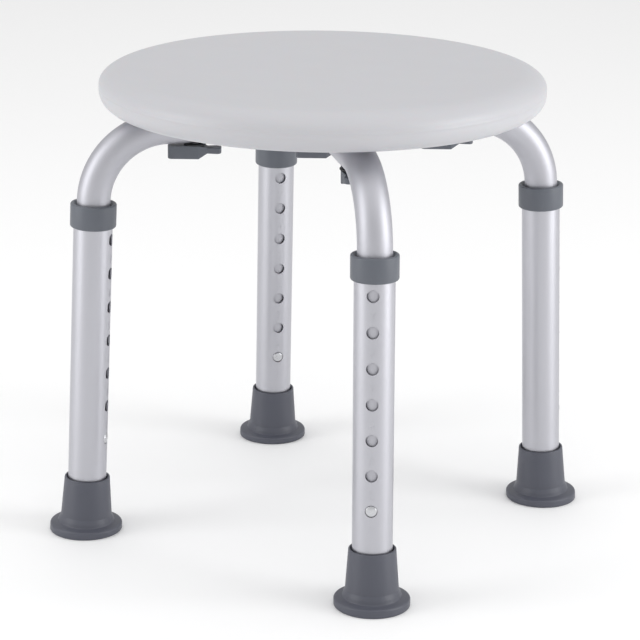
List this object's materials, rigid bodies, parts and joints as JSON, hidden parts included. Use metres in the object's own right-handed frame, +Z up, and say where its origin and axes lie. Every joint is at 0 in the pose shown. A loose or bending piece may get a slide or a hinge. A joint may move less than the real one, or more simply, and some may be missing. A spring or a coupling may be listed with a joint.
{
  "type": "shower stool",
  "caption": "Round hollow seat on two crossed bent tubes with telescopic snap-button legs, collars, rubber feet and lever knobs.",
  "frame": {"origin": "on the floor under the middle of the seat, with the legs fully in", "axes": "+Z up; the legs stand on the diagonals, so +X is the stool's right and -Y its front"},
  "size_m": [0.32, 0.32, 0.34],
  "materials": {
    "seat_plastic": "satin",
    "tube_aluminium": "satin anodised",
    "leg_aluminium": "satin anodised",
    "grey_plastic": "satin moulded",
    "grey_rubber": "matte",
    "black_plastic": "matte",
    "insert_brass": "machined",
    "steel": "zinc plated",
    "button_steel": "polished",
    "spring_steel": "plain"
  },
  "bodies": {
    "frame": {"seat": "seat_plastic", "frame_tube_upper": "tube_aluminium", "frame_tube_lower": "tube_aluminium", "insert_front_right": "insert_brass", "insert_rear_left": "insert_brass", "insert_rear_right": "insert_brass", "insert_front_left": "insert_brass", "insert_centre": "insert_brass", "knob_washer_front_right": "black_plastic", "knob_washer_rear_left": "black_plastic", "knob_washer_rear_right": "black_plastic", "knob_washer_front_left": "black_plastic", "knob_washer_centre": "black_plastic", "button_spring_front_right": "spring_steel", "button_spring_rear_left": "spring_steel", "button_spring_rear_right": "spring_steel", "button_spring_front_left": "spring_steel"},
    "leg_front_right": {"leg_tube_front_right": "leg_aluminium", "collar_front_right": "grey_plastic", "foot_front_right": "grey_rubber", "foot_washer_front_right": "steel"},
    "button_front_right": {"snap_button_front_right": "button_steel"},
    "leg_rear_left": {"leg_tube_rear_left": "leg_aluminium", "collar_rear_left": "grey_plastic", "foot_rear_left": "grey_rubber", "foot_washer_rear_left": "steel"},
    "button_rear_left": {"snap_button_rear_left": "button_steel"},
    "leg_rear_right": {"leg_tube_rear_right": "leg_aluminium", "collar_rear_right": "grey_plastic", "foot_rear_right": "grey_rubber", "foot_washer_rear_right": "steel"},
    "button_rear_right": {"snap_button_rear_right": "button_steel"},
    "leg_front_left": {"leg_tube_front_left": "leg_aluminium", "collar_front_left": "grey_plastic", "foot_front_left": "grey_rubber", "foot_washer_front_left": "steel"},
    "button_front_left": {"snap_button_front_left": "button_steel"},
    "knob_front_right": {"knob_front_right": "grey_plastic", "knob_screw_front_right": "steel"},
    "knob_rear_left": {"knob_rear_left": "grey_plastic", "knob_screw_rear_left": "steel"},
    "knob_rear_right": {"knob_rear_right": "grey_plastic", "knob_screw_rear_right": "steel"},
    "knob_front_left": {"knob_front_left": "grey_plastic", "knob_screw_front_left": "steel"},
    "knob_centre": {"knob_centre": "grey_plastic", "knob_screw_centre": "steel"}
  },
  "joints": [
    {"name": "leg_slide_front_right", "type": "slide", "parent": "frame", "child": "leg_front_right", "axis": [0.0271, -0.0271, -0.9993], "range_m": [0, 0.15]},
    {"name": "button_press_front_right", "type": "slide", "parent": "frame", "child": "button_front_right", "axis": [-0.4535, 0.8905, -0.0365], "range_m": [0, 0.0025], "stiffness_N_per_m": 2000, "deforming": ["button_spring_front_right"]},
    {"name": "leg_slide_rear_left", "type": "slide", "parent": "frame", "child": "leg_rear_left", "axis": [-0.0271, 0.0271, -0.9993], "range_m": [0, 0.15]},
    {"name": "button_press_rear_left", "type": "slide", "parent": "frame", "child": "button_rear_left", "axis": [-0.7484, 0.6621, 0.0383], "range_m": [0, 0.0025], "stiffness_N_per_m": 2000, "deforming": ["button_spring_rear_left"]},
    {"name": "leg_slide_rear_right", "type": "slide", "parent": "frame", "child": "leg_rear_right", "axis": [0.0271, 0.0271, -0.9993], "range_m": [0, 0.15]},
    {"name": "button_press_rear_right", "type": "slide", "parent": "frame", "child": "button_rear_right", "axis": [-0.7655, -0.6423, -0.0382], "range_m": [0, 0.0025], "stiffness_N_per_m": 2000, "deforming": ["button_spring_rear_right"]},
    {"name": "leg_slide_front_left", "type": "slide", "parent": "frame", "child": "leg_front_left", "axis": [-0.0271, -0.0271, -0.9993], "range_m": [0, 0.15]},
    {"name": "button_press_front_left", "type": "slide", "parent": "frame", "child": "button_front_left", "axis": [-0.9422, -0.3333, 0.0346], "range_m": [0, 0.0025], "stiffness_N_per_m": 2000, "deforming": ["button_spring_front_left"]},
    {"name": "knob_turn_front_right", "type": "hinge", "parent": "frame", "child": "knob_front_right", "pos_m": [0.06575, -0.06575, 0.28], "axis": [0, 0, -1], "range_deg": [0, 1080]},
    {"name": "knob_turn_rear_left", "type": "hinge", "parent": "frame", "child": "knob_rear_left", "pos_m": [-0.06575, 0.06575, 0.28], "axis": [0, 0, -1], "range_deg": [0, 1080]},
    {"name": "knob_turn_rear_right", "type": "hinge", "parent": "frame", "child": "knob_rear_right", "pos_m": [0.06575, 0.06575, 0.28], "axis": [0, 0, -1], "range_deg": [0, 1080]},
    {"name": "knob_turn_front_left", "type": "hinge", "parent": "frame", "child": "knob_front_left", "pos_m": [-0.06575, -0.06575, 0.28], "axis": [0, 0, -1], "range_deg": [0, 1080]},
    {"name": "knob_turn_centre", "type": "hinge", "parent": "frame", "child": "knob_centre", "pos_m": [0, 0, 0.28], "axis": [0, 0, -1], "range_deg": [0, 1080]}
  ]
}
